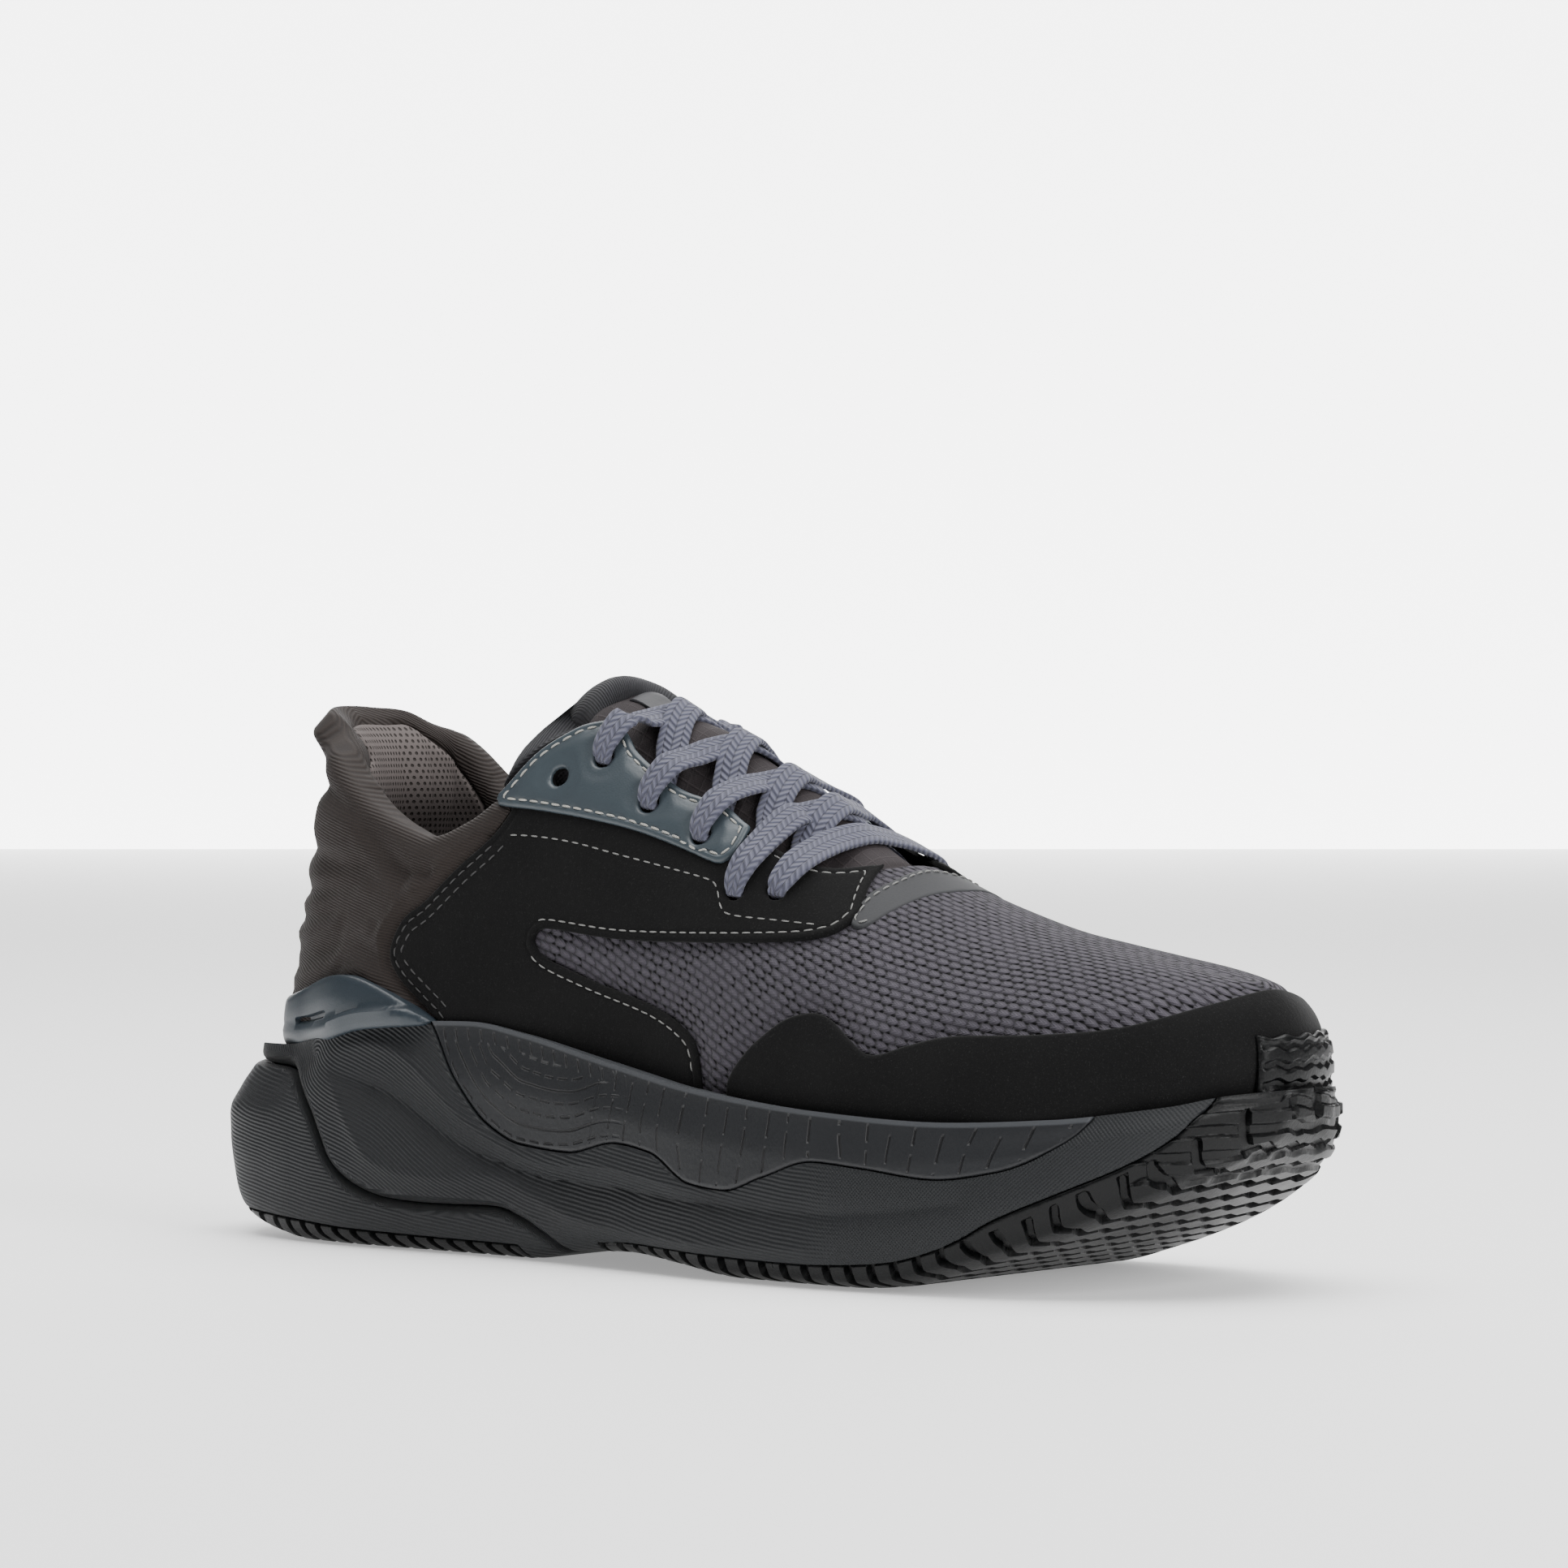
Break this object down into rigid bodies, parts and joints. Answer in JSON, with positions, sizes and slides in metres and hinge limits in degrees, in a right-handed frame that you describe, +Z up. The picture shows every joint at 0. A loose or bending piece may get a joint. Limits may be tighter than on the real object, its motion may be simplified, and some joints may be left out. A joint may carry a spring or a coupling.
{
  "type": "running shoe",
  "caption": "Low cushioned running shoe for the right foot, with a knit vamp, suede overlays, flared heel collar, flat lace and a two-part rubber outsole.",
  "frame": {"origin": "on the ground under the middle of the shoe's bounding box", "axes": "+X towards the toe, +Y towards the inner (medial) side of the right shoe, +Z up"},
  "size_m": [0.308, 0.1078, 0.1378],
  "materials": {
    "outsole_rubber": "glossy black",
    "midsole_foam": "matt charcoal foam with a fine ribbed skin",
    "sidewall_film": "satin charcoal",
    "stabilizer_tpu": "satin blue-grey",
    "board": "matt",
    "insole_fabric": "matt knitted cover",
    "knit": "matt engineered knit",
    "lining": "matt",
    "stiffener": "matt",
    "suede": "black synthetic suede",
    "eyestay_tpu": "satin blue-grey",
    "band_film": "satin",
    "heel_cover_pu": "matt brown with fine ribs",
    "collar_pad": "foam",
    "collar_mesh": "grey-brown mesh",
    "tongue_cloth": "matt ripstop",
    "cuff_jersey": "matt black",
    "emblem_film": "satin",
    "lace_braid": "herringbone braid",
    "aglet_film": "glossy"
  },
  "bodies": {
    "shoe": {"outsole_heel": "outsole_rubber", "outsole_forefoot": "outsole_rubber", "midsole_heel_pod": "midsole_foam", "midsole_lower": "midsole_foam", "sidewall_frame_lateral": "sidewall_film", "sidewall_frame_medial": "sidewall_film", "strobel_board": "board", "knit_vamp": "knit", "vamp_lining": "lining", "toe_puff": "stiffener", "toe_guard": "suede", "quarter_overlay_lateral": "suede", "quarter_overlay_medial": "suede", "eyestay_lateral": "eyestay_tpu", "eyestay_medial": "eyestay_tpu", "throat_band": "band_film", "heel_cover": "heel_cover_pu", "heel_stabilizer": "stabilizer_tpu", "heel_counter_stiffener": "stiffener", "collar_foam": "collar_pad", "collar_lining": "collar_mesh", "tongue_body": "tongue_cloth", "tongue_emblem": "emblem_film", "lace": "lace_braid", "aglet_lateral": "aglet_film", "aglet_medial": "aglet_film"},
    "tongue_top": {"tongue_tip": "tongue_cloth", "tongue_top_cuff": "cuff_jersey"},
    "sock_liner": {"insole": "insole_fabric"}
  },
  "joints": [
    {"name": "tongue_tip_fold", "type": "hinge", "parent": "shoe", "child": "tongue_top", "pos_m": [-0.0346, 0, 0.1369], "axis": [0, 1, 0], "range_deg": [0, 35], "stiffness_Nm_per_rad": 0.02},
    {"name": "insole_lift", "type": "hinge", "parent": "shoe", "child": "sock_liner", "pos_m": [0.142, 0, 0.033], "axis": [0, 1, 0], "range_deg": [0, 2.5]}
  ]
}
